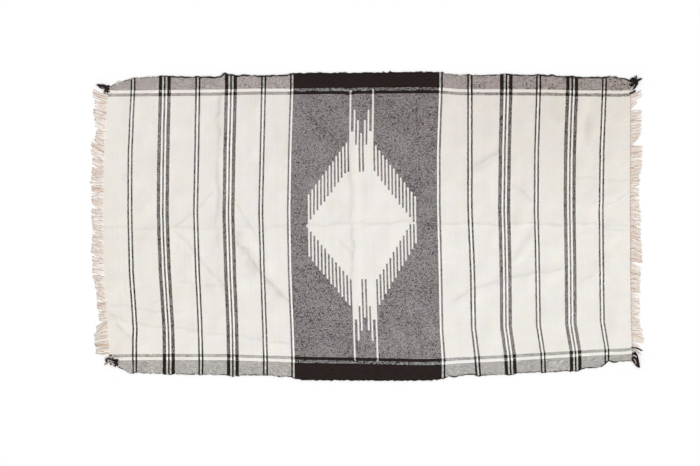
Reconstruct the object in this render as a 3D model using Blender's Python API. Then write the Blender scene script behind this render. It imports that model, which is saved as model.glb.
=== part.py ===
"""A hand-woven throw rug, lying open and face up on a floor.

It is one plain-woven cloth with warp fringes at both ends. The dark warps of its two long
borders are gathered and knotted at the four corners.

X runs along the warp, Y along the weft and Z up. Lengths are in metres. A place on the cloth
is given as u (along X) and v (along Y), as it was on the loom; lay() says where that place
lies on the floor, because the cloth has drawn in, drifted and creased.
"""

import math
import random

import bmesh
import bpy
import numpy as np

MM = 0.001

# The cloth as woven: 608 picks by 504 ends, of which 35 make each dark border
PICK = 3.85 * MM
END = 2.7 * MM
CLOTH_LENGTH = 608 * PICK
CLOTH_WIDTH = 504 * END
CLOTH_THICK = 2.2 * MM
HALF_LENGTH = CLOTH_LENGTH / 2
HALF_WIDTH = CLOTH_WIDTH / 2
BORDER = 35 * END
BORDER_LINE = HALF_WIDTH - BORDER

# Separate pieces keep this gap. The last few picks at each end carry the fringe.
GAP = 0.3 * MM
KNOT_GAP = 0.5 * MM
HEADING = 6 * MM
CLOTH_END = HALF_LENGTH - HEADING

# Cells of the cloth's solid
CELLS_ALONG = 48
CELLS_BETWEEN_LINES = 24
CELLS_IN_BORDER = 2

# How far each weft has drifted along +X, in mm, down the rug from its upper edge.
# Columns are places across the rug (v), rows are places along it (u).
DRIFT_V = (620, 335, 70, -195, -460, -586, -680)
DRIFT_ROWS = (
    # u, drift at each v above
    (-1170, 29, 11, 4, 9, 27, 34, 75),
    (-1100, 20, 6, 2, 8, 25, 26, 45),
    (-1043, 15, 2, 1, 7, 24, 22, 22),
    (-897, 9, 3, 0, 9, 25, 27, 27),
    (-751, 9, 4, -1, 7, 19, 22, 22),
    (-604, 9, 2, -2, 5, 15, 17, 17),
    (-458, 7, 0, -6, 2, 11, 15, 15),
    (-336, 4, -5, -10, -6, 5, 9, 9),
    (0, -10, -13, -8, -2, 6, 10, 10),
    (336, 2, -8, -8, -1, 4, 13, 13),
    (458, 2, 2, 2, 13, 18, 33, 33),
    (604, 17, 10, 7, 13, 15, 32, 32),
    (751, 13, 4, 2, 8, 12, 31, 31),
    (897, 15, 5, 4, 8, 9, 29, 29),
    (1043, 11, 0, -4, -2, 2, 22, 22),
    (1170, 4, 4, 3, 4, 7, 11, 11),
)

# How far each warp line lies above (+) or below (-) its place on the loom, in mm.
# Both borders draw in towards the corner knots.
DRAW_V = (680, 590, 0, -590, -680)
DRAW_ROWS = (
    # u, upper edge, upper line, middle, lower line, lower edge
    (-1170, -74, -11, -13, 16, 55),
    (-1105, -50, -11, -13, 17, 37),
    (-1043, -30, -11, -14, 18, 30),
    (-955, -24, -10, -14, 18, 21),
    (-667, -24, -7, -15, 18, 18),
    (-513, -17, -3, -13, 14, 13),
    (-358, -15, -3, -9, 9, 10),
    (-300, -7, -2, -4, 6, -3),
    (-115, -6, 0, -3, 3, -6),
    (239, -2, 3, 6, -4, -7),
    (327, -4, 2, 6, -2, -1),
    (415, -15, -5, 6, 5, 13),
    (592, -15, -6, 5, 14, 19),
    (769, -17, -7, 5, 25, 30),
    (924, -26, -11, 5, 34, 39),
    (1034, -26, -11, 5, 40, 57),
    (1105, -30, -12, 5, 42, 77),
    (1170, -44, -10, 5, 46, 82),
)

# The main creases, as low rounded ridges, in mm
FOLD_ROWS = (
    # from u, v, to u, v, height, half width
    (-1150, 0, 1150, 0, 4.0, 52),
    (-54, 560, -54, -540, 3.5, 52),
    (-656, 580, -640, -300, 4.0, 50),
    (-560, -90, -340, -350, 6.0, 62),
    (-840, -30, -620, -285, 3.5, 55),
    (-1130, -425, -350, -533, 4.0, 55),
    (-1112, -450, -1030, -545, 5.0, 50),
    (470, 250, 590, 335, 4.5, 60),
    (390, -330, 585, -245, 4.5, 58),
    (585, -245, 865, -200, 4.0, 55),
    (1040, 75, 1160, 150, 4.0, 55),
    (735, -40, 650, -155, 3.5, 52),
)
FOLD_FADE = 70 * MM

# The fringe: cut warp ends in tufts that lean and reach unevenly, in mm
TUFT_ROWS = {
    "left": (
        # from v, lean towards +Y, reach
        (-590, -3, 54),
        (-548, -8, 58),
        (-508, -18, 57),
        (-470, -27, 46),
        (-436, 1, 32),
        (-390, 6, 36),
        (-342, 10, 36),
        (-298, 14, 41),
        (-250, 10, 46),
        (-196, 14, 46),
        (-144, 22, 48),
        (-92, 13, 44),
        (-36, 21, 42),
        (6, 8, 44),
        (44, 6, 46),
        (82, 23, 44),
        (116, 2, 47),
        (150, 4, 49),
        (186, 11, 52),
        (220, 12, 49),
        (258, 20, 46),
        (296, 29, 50),
        (330, 30, 53),
        (362, 12, 38),
        (400, 9, 35),
        (430, 17, 41),
        (458, 11, 48),
        (490, 9, 57),
        (524, 15, 50),
        (556, 27, 60),
    ),
    "right": (
        (-590, -14, 28),
        (-556, -13, 50),
        (-520, -9, 46),
        (-480, -13, 36),
        (-436, -9, 36),
        (-384, -6, 36),
        (-330, -3, 38),
        (-272, -5, 41),
        (-226, -17, 44),
        (-180, -8, 47),
        (-148, -21, 51),
        (-106, -16, 48),
        (-60, -12, 44),
        (-10, -9, 44),
        (36, -12, 43),
        (82, -14, 38),
        (126, -6, 36),
        (170, 4, 38),
        (214, 15, 46),
        (256, -3, 50),
        (292, -2, 50),
        (322, 1, 51),
        (358, 25, 32),
        (394, 8, 45),
        (430, 3, 44),
        (464, -2, 46),
        (488, 1, 46),
        (518, 26, 24),
        (545, 26, 45),
    ),
}
STRANDS_A_CELL = 4
STRANDS_A_SIDE = STRANDS_A_CELL * CELLS_BETWEEN_LINES
STRAND_HALF_WIDTHS = (3.7 * MM, 3.3 * MM, 1.7 * MM)
STRAND_HEIGHTS = (CLOTH_THICK, 2.4 * MM, 1.4 * MM)
STRAND_SPREAD = 3 * MM
TUFT_GATHER = 0.14
TIP_CLEARANCE = 1.2 * MM
MIDDLE_OF_LEAN = 0.38

# The corner knots. A neck of gathered dark warps swells into the knot, then splits into locks.
TIE_SIDES = 8
NECK_ROWS = (
    # step, share of the turn, half width, height, in mm
    (0.0, 0.0, 13.0, 3.2),
    (5.0, 0.3, 9.0, 6.5),
    (5.5, 0.7, 12.0, 12.0),
    (8.0, 1.0, 12.0, 13.5),
    (7.0, 1.0, 8.5, 8.0),
    (3.0, 1.0, 8.0, 6.5),
)
TIE_ROWS = (
    # name, end, v of the foot in mm, heading in degrees, lengths of the three locks in mm
    ("tie_upper_left", -1, 648, 150, (14, 24, 10)),
    ("tie_upper_right", 1, 636, 48, (22, 11, 20)),
    ("tie_lower_left", -1, -640, 196, (11, 8, 13)),
    ("tie_lower_right", 1, -630, -62, (20, 32, 22)),
)
LOCK_SHARES = (0.5, 1.0)
LOCK_SHRINK = 0.3
LOCK_SINK = 0.8
LOCK_FLARE = 0.6

CREAM = (0.82, 0.79, 0.73, 1.0)
DARK = (0.030, 0.021, 0.019, 1.0)
WOOL_ROUGHNESS = 0.92


def clear_scene():
    for obj in list(bpy.data.objects):
        bpy.data.objects.remove(obj)


def wool(name, colour):
    material = bpy.data.materials.new(name)
    material.use_nodes = True
    shader = material.node_tree.nodes["Principled BSDF"]
    shader.inputs["Base Color"].default_value = colour
    shader.inputs["Roughness"].default_value = WOOL_ROUGHNESS
    shader.inputs["Metallic"].default_value = 0.0
    return material


def smooth_weights(stations, places):
    """How much each station counts at each place, for a smooth cubic curve through them."""
    stations = np.asarray(stations, float)
    places = np.clip(places, stations.min(), stations.max())
    count = len(stations)
    slopes = np.zeros((count, count))
    for k in range(count):
        before, after = max(k - 1, 0), min(k + 1, count - 1)
        slopes[k, after] += 1 / (stations[after] - stations[before])
        slopes[k, before] -= 1 / (stations[after] - stations[before])
    i = np.clip(np.searchsorted(stations, places, side="right") - 1, 0, count - 2)
    step = stations[i + 1] - stations[i]
    t = (places - stations[i]) / step
    value = np.eye(count)
    return (
        (2 * t**3 - 3 * t**2 + 1)[:, None] * value[i]
        + ((t**3 - 2 * t**2 + t) * step)[:, None] * slopes[i]
        + (3 * t**2 - 2 * t**3)[:, None] * value[i + 1]
        + ((t**3 - t**2) * step)[:, None] * slopes[i + 1]
    )


def straight_weights(stations, places):
    """The same for straight lines between the stations."""
    value = np.eye(len(stations))
    return np.stack([np.interp(places, stations, row) for row in value], axis=1)


def table_at(rows, columns, u, v):
    """A table's value in metres at the places u, v. Its columns run downwards in v."""
    rows = np.array(rows, float) * MM
    along = smooth_weights(rows[:, 0], u)
    across = straight_weights(np.array(columns[::-1], float) * MM, v)
    return np.einsum("ki,ij,kj->k", along, rows[:, :0:-1], across)


def fold_height(u, v):
    """Height of the creases over the floor. They fade out before the fringes."""
    height = np.zeros(len(u))
    for row in FOLD_ROWS:
        u0, v0, u1, v1, top, half_width = (value * MM for value in row)
        run = math.hypot(u1 - u0, v1 - v0)
        share = ((u - u0) * (u1 - u0) + (v - v0) * (v1 - v0)) / run**2
        off = np.hypot(u - u0 - share * (u1 - u0), v - v0 - share * (v1 - v0))
        past = np.maximum(np.abs(share - 0.5) - 0.5, 0) * run
        reach = np.clip(np.hypot(off, past) / half_width, 0, 1)
        height = np.maximum(height, top * (0.5 + 0.5 * np.cos(math.pi * reach)))
    fade = np.clip((CLOTH_END - np.abs(u)) / FOLD_FADE, 0, 1)
    return height * fade


def lay(u, v):
    """Where places on the cloth's underside lie on the floor."""
    u, v = np.asarray(u, float), np.asarray(v, float)
    x = u + table_at(DRIFT_ROWS, DRIFT_V, u, v)
    y = v + table_at(DRAW_ROWS, DRAW_V, u, v)
    return np.stack([x, y, fold_height(u, v)], axis=1)


def new_object(name, bm, material):
    bmesh.ops.recalc_face_normals(bm, faces=bm.faces)
    mesh = bpy.data.meshes.new(name)
    bm.to_mesh(mesh)
    bm.free()
    obj = bpy.data.objects.new(name, mesh)
    obj.data.materials.append(material)
    bpy.context.scene.collection.objects.link(obj)
    return obj


def across_places():
    """The places across the rug that the cloth's cells meet at."""
    lines = np.linspace(-BORDER_LINE, BORDER_LINE, CELLS_BETWEEN_LINES + 1)
    border = np.linspace(BORDER_LINE, HALF_WIDTH, CELLS_IN_BORDER + 1)[1:]
    return np.concatenate([-border[::-1], lines, border])


def make_cloth(material):
    """The woven cloth, as one sheet whose two faces follow the creases."""
    us = np.linspace(-CLOTH_END, CLOTH_END, CELLS_ALONG + 1)
    vs = across_places()
    grid_u, grid_v = (g.ravel() for g in np.meshgrid(us, vs, indexing="ij"))
    under = lay(grid_u, grid_v)

    bm = bmesh.new()
    low = [bm.verts.new(p) for p in under]
    high = [bm.verts.new((x, y, z + CLOTH_THICK)) for x, y, z in under]
    across = len(vs)

    def corners(layer, i, j):
        at = i * across + j
        return [layer[at], layer[at + across], layer[at + across + 1], layer[at + 1]]

    for i in range(len(us) - 1):
        for j in range(across - 1):
            bm.faces.new(corners(high, i, j))
            bm.faces.new(corners(low, i, j)[::-1])
    rim = [i * across for i in range(len(us))]
    rim += [(len(us) - 1) * across + j for j in range(1, across)]
    rim += [i * across + across - 1 for i in range(len(us) - 2, -1, -1)]
    rim += [j for j in range(across - 2, 0, -1)]
    for here, there in zip(rim, rim[1:] + rim[:1]):
        bm.faces.new([low[here], low[there], high[there], high[here]])
    return new_object("cloth", bm, material)


def tuft_of(rows, v):
    """(lean, reach, middle) in metres of the tuft that the warp end at v belongs to."""
    starts = [row[0] * MM for row in rows] + [BORDER_LINE]
    k = max(i for i in range(len(rows)) if starts[i] <= v or i == 0)
    return rows[k][1] * MM, rows[k][2] * MM, (starts[k] + starts[k + 1]) / 2


def ring_of(bm, x, y, half_width, height):
    """Four points of a strand's section, which stands on the floor."""
    sides = ((-1, 0), (1, 0), (1, 1), (-1, 1))
    return [bm.verts.new((x, y + s * half_width, top * height)) for s, top in sides]


def grow(bm, root, rings):
    """A strand from the four root corners through its rings, closed at its tip."""
    for before, after in zip([root, *rings], rings):
        for k in range(4):
            n = (k + 1) % 4
            bm.faces.new([before[k], before[n], after[n], after[k]])
    bm.faces.new(rings[-1])


def make_fringe(name, end, rows, material, chance):
    """The last picks at one end, with the cut warp ends that hang from them."""
    pitch = 2 * BORDER_LINE / STRANDS_A_SIDE
    roots = -BORDER_LINE + pitch * (np.arange(STRANDS_A_SIDE) + 0.5)
    half = STRAND_HALF_WIDTHS[0]
    edges = np.stack([roots - half, roots + half], axis=1).ravel()
    edges[0], edges[-1] = -BORDER_LINE, BORDER_LINE
    outer = lay(np.full(len(edges), end * HALF_LENGTH), edges)
    cell_v = np.linspace(-BORDER_LINE, BORDER_LINE, CELLS_BETWEEN_LINES + 1)
    inner = lay(np.full(len(cell_v), end * (CLOTH_END + GAP)), cell_v)

    bm = bmesh.new()
    outer_low = [bm.verts.new((x, y, 0)) for x, y, z in outer]
    outer_high = [bm.verts.new((x, y, CLOTH_THICK)) for x, y, z in outer]
    inner_low = [bm.verts.new((x, y, 0)) for x, y, z in inner]
    inner_high = [bm.verts.new((x, y, CLOTH_THICK)) for x, y, z in inner]
    for k in range(CELLS_BETWEEN_LINES):
        first = 2 * STRANDS_A_CELL * k
        last = min(first + 2 * STRANDS_A_CELL, len(edges) - 1)
        for near, far in ((inner_low, outer_low), (inner_high, outer_high)):
            bm.faces.new([near[k + 1], near[k], *far[first : last + 1]])
        bm.faces.new([inner_low[k], inner_low[k + 1], inner_high[k + 1], inner_high[k]])
    for k in range(1, len(edges) - 1, 2):
        bm.faces.new([outer_low[k], outer_low[k + 1], outer_high[k + 1], outer_high[k]])
    for inner_at, outer_at in ((0, 0), (-1, -1)):
        column = [inner_low[inner_at], outer_low[outer_at]]
        bm.faces.new(column + [outer_high[outer_at], inner_high[inner_at]])

    tip_before = -math.inf
    for k, v in enumerate(roots):
        lean, reach, middle = tuft_of(rows, v)
        reach += chance.uniform(-STRAND_SPREAD, STRAND_SPREAD)
        x = (outer[2 * k][0] + outer[2 * k + 1][0]) / 2
        y = (outer[2 * k][1] + outer[2 * k + 1][1]) / 2
        tip = y + lean + (middle - v) * TUFT_GATHER
        tip = max(tip, tip_before + 2 * STRAND_HALF_WIDTHS[2] + TIP_CLEARANCE)
        tip_before = tip
        low_root, high_root = outer_low[2 * k : 2 * k + 2], outer_high[2 * k : 2 * k + 2]
        middle_y = y + (tip - y) * MIDDLE_OF_LEAN
        rings = [
            ring_of(bm, x + end * reach / 2, middle_y, STRAND_HALF_WIDTHS[1], STRAND_HEIGHTS[1]),
            ring_of(bm, x + end * reach, tip, STRAND_HALF_WIDTHS[2], STRAND_HEIGHTS[2]),
        ]
        grow(bm, [*low_root, *high_root[::-1]], rings)
    return new_object(name, bm, material)


def end_of_cloth(end):
    """The line just outside the cloth's end that the knots start from, as y and x."""
    vs = across_places()
    line = lay(np.full(len(vs), end * (CLOTH_END + KNOT_GAP)), vs)
    return line[:, 1], line[:, 0]


def make_tie(name, end, v, heading, locks, material):
    """A corner knot of dark warp ends, resting on the floor."""
    y_line, x_line = end_of_cloth(end)
    middle = lay([end * (CLOTH_END + KNOT_GAP)], [v * MM])[0, :2]
    start = 0 if end > 0 else 180

    bm = bmesh.new()
    rings = []
    for step, share, half_width, height in NECK_ROWS:
        angle = math.radians(start + (heading - start) * share)
        ahead = np.array([math.cos(angle), math.sin(angle)])
        side = np.array([ahead[1], -ahead[0]])
        middle = middle + ahead * step * MM
        ring = []
        for k in range(TIE_SIDES):
            turn = 2 * math.pi * (k + 0.5) / TIE_SIDES - math.pi
            x, y = middle + side * math.cos(turn) * half_width * MM
            if not rings:
                x = np.interp(y, y_line, x_line)
            lift = 0.5 + 0.5 * math.sin(turn) / math.cos(math.pi / TIE_SIDES)
            ring.append(bm.verts.new((x, y, lift * height * MM)))
        rings.append(ring)
    bm.faces.new(rings[0][::-1])
    for before, after in zip(rings, rings[1:]):
        for k in range(TIE_SIDES):
            n = (k + 1) % TIE_SIDES
            bm.faces.new([before[k], before[n], after[n], after[k]])
    for k, length in enumerate(locks):
        root = [rings[-1][k], rings[-1][k + 1], rings[-1][6 - k], rings[-1][7 - k]]
        grow_lock(bm, root, ahead * length * MM, side * (k - 1))
    return new_object(name, bm, material)


def grow_lock(bm, root, push, aside):
    """One lock of a knot's end, flaring to its side and sinking to the floor."""
    centre = np.mean([vert.co[:] for vert in root], axis=0)
    flare = aside * LOCK_FLARE * NECK_ROWS[-1][2] * MM
    rings = []
    for share in LOCK_SHARES:
        shrink = 1 - LOCK_SHRINK * share
        place = centre * (1, 1, 1 - LOCK_SINK * share)
        place[:2] += push * share + flare * share
        ring = []
        for vert in root:
            x, y, z = place + (np.array(vert.co[:]) - centre) * shrink
            ring.append(bm.verts.new((x, y, max(z, 0))))
        rings.append(ring)
    grow(bm, root, rings)


def centre_on_origin(objects):
    """Moves the meshes so that the rug's box stands centred on the origin."""
    points = np.array([vert.co[:] for obj in objects for vert in obj.data.vertices])
    middle = (points.min(axis=0) + points.max(axis=0)) / 2
    for obj in objects:
        for vert in obj.data.vertices:
            vert.co.x -= middle[0]
            vert.co.y -= middle[1]


def main():
    clear_scene()
    chance = random.Random(11)
    cream = wool("cream_wool", CREAM)
    dark = wool("dark_wool", DARK)
    objects = [make_cloth(cream)]
    for name, end in (("left", -1), ("right", 1)):
        objects.append(make_fringe(f"fringe_{name}", end, TUFT_ROWS[name], cream, chance))
    for row in TIE_ROWS:
        objects.append(make_tie(*row, dark))
    centre_on_origin(objects)


main()
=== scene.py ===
"""The look of a hand-woven throw rug, lying open and face up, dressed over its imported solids.

X runs along the warp, Y along the weft and Z up, in metres. Distances in the tables are in
millimetres. A place on the cloth is given as u (along X) and v (along Y), as it was on the
loom; lay() says where that place lies on the floor.
"""

import math

import bpy
import numpy as np
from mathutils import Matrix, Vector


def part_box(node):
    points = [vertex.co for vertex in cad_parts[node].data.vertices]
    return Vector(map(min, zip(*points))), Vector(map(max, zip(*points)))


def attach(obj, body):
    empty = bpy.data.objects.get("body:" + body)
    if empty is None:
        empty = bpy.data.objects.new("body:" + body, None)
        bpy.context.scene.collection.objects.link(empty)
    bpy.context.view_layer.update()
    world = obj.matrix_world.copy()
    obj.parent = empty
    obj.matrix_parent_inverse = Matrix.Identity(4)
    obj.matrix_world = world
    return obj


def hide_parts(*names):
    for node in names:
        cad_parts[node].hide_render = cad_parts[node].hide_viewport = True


MM = 0.001
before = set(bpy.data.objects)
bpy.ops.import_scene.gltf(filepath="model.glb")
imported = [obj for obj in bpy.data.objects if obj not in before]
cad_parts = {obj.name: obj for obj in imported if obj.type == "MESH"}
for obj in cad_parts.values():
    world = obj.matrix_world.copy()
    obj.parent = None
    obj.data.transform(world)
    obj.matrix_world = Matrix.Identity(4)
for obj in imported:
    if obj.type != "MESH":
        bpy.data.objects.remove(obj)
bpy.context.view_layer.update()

# The loom's plan: the width of a pick and of an end, and how many lie on each side of the middle
PICK = 3.85
END = 2.7
HALF_PICKS = 304
HALF_ENDS = 252
HALF_LENGTH = HALF_PICKS * PICK
HALF_WIDTH = HALF_ENDS * END
BORDER_LINE = HALF_WIDTH - 35 * END
STRIPE_LINE = HALF_WIDTH - 25 * END

# How far each weft has drifted along +X: a row for each u, and a column for each v
DRIFT_V = (620, 335, 70, -195, -460, -586, -680)
DRIFT_ROWS = (
    # u, drift at each v above
    (-1170, 29, 11, 4, 9, 27, 34, 75),
    (-1100, 20, 6, 2, 8, 25, 26, 45),
    (-1043, 15, 2, 1, 7, 24, 22, 22),
    (-897, 9, 3, 0, 9, 25, 27, 27),
    (-751, 9, 4, -1, 7, 19, 22, 22),
    (-604, 9, 2, -2, 5, 15, 17, 17),
    (-458, 7, 0, -6, 2, 11, 15, 15),
    (-336, 4, -5, -10, -6, 5, 9, 9),
    (0, -10, -13, -8, -2, 6, 10, 10),
    (336, 2, -8, -8, -1, 4, 13, 13),
    (458, 2, 2, 2, 13, 18, 33, 40),
    (604, 17, 10, 7, 13, 15, 32, 37),
    (751, 13, 4, 2, 8, 12, 31, 35),
    (897, 15, 5, 4, 8, 9, 29, 31),
    (1043, 11, 0, -4, -2, 2, 22, 22),
    (1170, 4, 4, 3, 4, 7, 11, 11),
)

# How far each warp line lies above (+) or below (-) its place on the loom. Both borders draw
# in towards the corner knots.
DRAW_V = (680, 590, 0, -590, -680)
DRAW_ROWS = (
    # u, upper edge, upper line, middle, lower line, lower edge
    (-1170, -74, -11, -13, 16, 55),
    (-1105, -50, -11, -13, 17, 37),
    (-1043, -30, -11, -14, 18, 30),
    (-955, -24, -10, -14, 18, 21),
    (-667, -24, -7, -15, 18, 18),
    (-513, -17, -3, -13, 14, 13),
    (-358, -15, -3, -9, 9, 10),
    (-300, -7, -2, -4, 6, -3),
    (-115, -6, 0, -3, 3, -6),
    (239, -2, 3, 6, -4, -7),
    (327, -4, 2, 6, -2, -1),
    (415, -15, -5, 6, 5, 13),
    (592, -15, -6, 5, 14, 19),
    (769, -17, -7, 5, 25, 30),
    (924, -26, -11, 5, 34, 39),
    (1034, -26, -11, 5, 40, 57),
    (1105, -30, -12, 5, 42, 77),
    (1170, -44, -10, 5, 46, 82),
)

# The main folds, as rounded ridges
FOLD_ROWS = (
    # from u, v, to u, v, height, half width
    (-1150, 0, 1150, 0, 1.5, 34), (-38, 560, -38, -540, 2.6, 38), (-636, 580, -632, 60, 4.5, 38),
    (-632, 60, -620, -300, 2.4, 40), (-545, -40, -452, -180, 9.0, 42),
    (-452, -180, -318, -345, 9.5, 42), (-868, -20, -780, -132, 3.0, 30),
    (-824, 0, -736, -109, 2.6, 32), (-1130, -425, -350, -533, 2.2, 40),
    (-1112, -450, -1030, -545, 5.0, 36), (468, 220, 603, 318, 5.5, 45),
    (398, -345, 593, -260, 4.0, 42), (593, -260, 870, -215, 2.6, 42),
    (1028, 95, 1148, 170, 3.6, 38), (742, -45, 657, -160, 4.2, 36), (-470, 560, -500, 330, 3.0, 45),
    (-990, 90, -850, 330, 2.5, 60), (-320, 540, -330, 260, 3.0, 50), (950, 540, 905, 330, 3.5, 45),
)

# The fine creases, in the same way. Their heights also set how much shade is painted along each.
CREASE_ROWS = (
    # from u, v, to u, v, height, half width
    (-1158, 0, -336, 4, 1.1, 12), (-256, 6, 221, 9, 1.4, 12), (234, 2, 900, 0, 2.4, 13),
    (900, 0, 1165, -3, 1.6, 12), (-54, 367, -54, -239, 1.3, 11), (-656, 575, -656, -252, 1.3, 12),
    (-575, -62, -345, -340, 2.6, 18), (-846, 0, -760, 70, 1.5, 13), (-760, 70, -685, 160, 1.5, 13),
    (-840, -18, -623, -270, 1.8, 14), (-566, 98, -464, -44, 1.8, 13),
    (-1140, -360, -831, -395, 1.5, 13), (-1140, -425, -800, -475, 1.8, 13),
    (-800, -475, -345, -533, 1.8, 13), (-1111, -458, -1045, -535, 2.2, 16),
    (-831, -250, -641, -268, 1.4, 12), (486, 265, 569, 323, 1.8, 14), (641, 177, 729, 100, 1.6, 14),
    (392, -328, 482, -280, 1.7, 13), (482, -280, 583, -250, 1.7, 13),
    (583, -250, 747, -226, 1.7, 13), (747, -226, 862, -204, 1.7, 13),
    (922, 208, 1160, 199, 1.3, 12), (1055, 86, 1158, 144, 1.8, 14), (1055, -17, 1160, -28, 1.4, 12),
    (950, -270, 1011, -240, 1.6, 13), (230, 139, 301, 95, 1.6, 13), (181, 590, 181, 400, 1.3, 12),
    (236, 590, 236, 400, 1.3, 12), (181, -390, 181, -590, 1.3, 12), (236, -390, 236, -590, 1.3, 12),
    (-119, -62, -57, -133, 1.8, 14), (-53, -20, -53, -165, 2.6, 16),
    (-652, 572, -652, 400, 2.4, 14), (-652, 290, -650, 90, 1.8, 14),
    (-1150, -400, -1080, -440, 2.2, 15), (-55, 10, 230, 6, 1.6, 12),
    (-590, -75, -520, -100, 2.2, 14),
)
FOLD_FADE = 70
CREASE_FADE = 25
CREASE_HEIGHT = 0.5

# A crease with this height in the table gets the full painted shade, over this half width.
FULL_CREASE = 1.8
CREASE_LINE = 9

# How far folds and creases stray from straight lines: a broad bend and a finer one
BROAD_STRAY = 5.0
FINE_STRAY = 2.5

# Where the cloth hasn't settled: shallow waves
WAVE_ROWS = (
    # length, bearing in degrees, phase, height
    (310, 12, 0.4, 1.3), (240, 64, 2.1, 1.2), (205, -38, 4.0, 1.1), (170, 95, 1.2, 0.9),
    (150, -72, 5.1, 0.9), (125, 31, 3.3, 0.8), (105, -15, 0.9, 0.7), (88, 78, 2.7, 0.6),
)
WAVE_FADE = 60
WAVE_MEAN = 0.3

# How far each wave's crest bends, and over what run, as shares of the wave's length
WAVE_BEND = 0.12
WAVE_BEND_RUN = 1.7

# Where the long edges stand out from their line
EDGE_BULGES = (
    # u, side, how far out, half width
    (-1043, 1, 3, 22), (-897, 1, 6, 45), (-751, 1, 2, 20), (-640, 1, 4, 22), (-628, 1, 14, 24),
    (-600, 1, 8, 24), (-548, 1, 3, 30), (-450, 1, -3, 90), (-1120, 1, 9, 50), (1085, 1, 6, 50),
    (1140, 1, 9, 35), (-1075, -1, 10, 48), (-920, -1, -3, 110), (-480, -1, -4, 120),
    (349, -1, -9, 34), (420, -1, -5, 60), (650, -1, -4, 150), (945, -1, -6, 60),
    (1048, -1, -16, 42), (-336, 1, 3, 16), (458, 1, 3, 24), (604, 1, 5, 45), (751, 1, 3, 20),
    (812, 1, 5, 24), (905, 1, 3, 40), (-1043, -1, 2, 18), (-897, -1, 4, 40), (-751, -1, 3, 20),
    (-604, -1, 5, 40), (-458, -1, 3, 18), (-397, -1, 3, 30), (336, -1, 2, 20), (458, -1, 4, 22),
    (604, -1, 6, 42), (751, -1, 3, 22), (897, -1, 4, 36), (1030, -1, 4, 20),
)
BULGE_REACH = 40
UPPER_INSET = -3.0
LOWER_INSET = -4.5

# The edges' ripples as height, length and a second length: plain, fading, and uneven
PLAIN_RIPPLE = (0.6, 17)
FADING_RIPPLE = (0.9, 7.3, 61)
UNEVEN_RIPPLE = (0.8, 4.7, 83)

# The upper border sags here, by this many mm, between these places across the rug.
DIP = 6.0
DIP_AT = -66
DIP_HALF = 17
DIP_FROM = 250
DIP_TO = 660

CELLS_ALONG = 336
CELLS_ACROSS = 190
CLOTH_THICK = 2.2

# The fringe's tufts
LEFT_TUFTS = (
    # from v, lean towards +Y, reach
    (-590, -3, 54), (-548, -8, 58), (-508, -18, 57), (-470, -27, 46), (-436, 1, 32), (-390, 6, 36),
    (-342, 10, 36), (-298, 14, 41), (-250, 10, 46), (-196, 14, 46), (-144, 22, 48), (-92, 13, 44),
    (-36, 21, 42), (6, 8, 44), (44, 6, 46), (82, 23, 44), (116, 2, 47), (150, 4, 49), (186, 11, 52),
    (220, 12, 49), (258, 20, 46), (296, 29, 50), (330, 30, 53), (362, 12, 38), (400, 9, 35),
    (430, 17, 41), (458, 11, 48), (490, 9, 57), (524, 15, 50), (556, 27, 60),
)
RIGHT_TUFTS = (
    (-590, -14, 28), (-556, -13, 50), (-520, -9, 46), (-480, -13, 36), (-436, -9, 36),
    (-384, -6, 36), (-330, -3, 38), (-272, -5, 41), (-226, -17, 44), (-180, -8, 47),
    (-148, -21, 51), (-106, -16, 48), (-60, -12, 44), (-10, -9, 44), (36, -12, 43), (82, -14, 38),
    (126, -6, 36), (170, 4, 38), (214, 15, 46), (256, -3, 50), (292, -2, 50), (322, 1, 51),
    (358, 25, 32), (394, 8, 45), (430, 3, 44), (464, -2, 46), (488, 1, 46), (518, 26, 24),
    (545, 26, 45),
)


def smooth_weights(stations, places):
    """How much each station counts at each place, for a smooth cubic curve through them."""
    stations = np.asarray(stations, float)
    places = np.clip(places, stations.min(), stations.max())
    count = len(stations)
    slopes = np.zeros((count, count))
    for k in range(count):
        before, after = max(k - 1, 0), min(k + 1, count - 1)
        slopes[k, after] += 1 / (stations[after] - stations[before])
        slopes[k, before] -= 1 / (stations[after] - stations[before])
    i = np.clip(np.searchsorted(stations, places, side="right") - 1, 0, count - 2)
    step = stations[i + 1] - stations[i]
    t = (places - stations[i]) / step
    value = np.eye(count)
    return (
        (2 * t**3 - 3 * t**2 + 1)[:, None] * value[i]
        + ((t**3 - 2 * t**2 + t) * step)[:, None] * slopes[i]
        + (3 * t**2 - 2 * t**3)[:, None] * value[i + 1]
        + ((t**3 - t**2) * step)[:, None] * slopes[i + 1]
    )


def straight_weights(stations, places):
    """The same for straight lines between the stations."""
    value = np.eye(len(stations))
    return np.stack([np.interp(places, stations, row) for row in value], axis=1)


def table_at(rows, columns, u, v):
    """A table's value at the places u, v. Its columns run downwards in v."""
    rows = np.array(rows, float)
    along = smooth_weights(rows[:, 0], u)
    across = straight_weights(np.array(columns[::-1], float), v)
    return np.einsum("ki,ij,kj->k", along, rows[:, :0:-1], across)


def ridges(rows, u, v):
    """Height of rounded ridges over the floor. Where two cross, the higher one counts."""
    height = np.zeros(len(u))
    for u0, v0, u1, v1, top, half_width in rows:
        run = math.hypot(u1 - u0, v1 - v0)
        share = ((u - u0) * (u1 - u0) + (v - v0) * (v1 - v0)) / run**2
        off = np.hypot(u - u0 - share * (u1 - u0), v - v0 - share * (v1 - v0))
        past = np.maximum(np.abs(share - 0.5) - 0.5, 0) * run
        reach = np.clip(np.hypot(off, past) / half_width, 0, 1)
        height = np.maximum(height, top * (0.5 + 0.5 * np.cos(math.pi * reach)))
    return height


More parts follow.
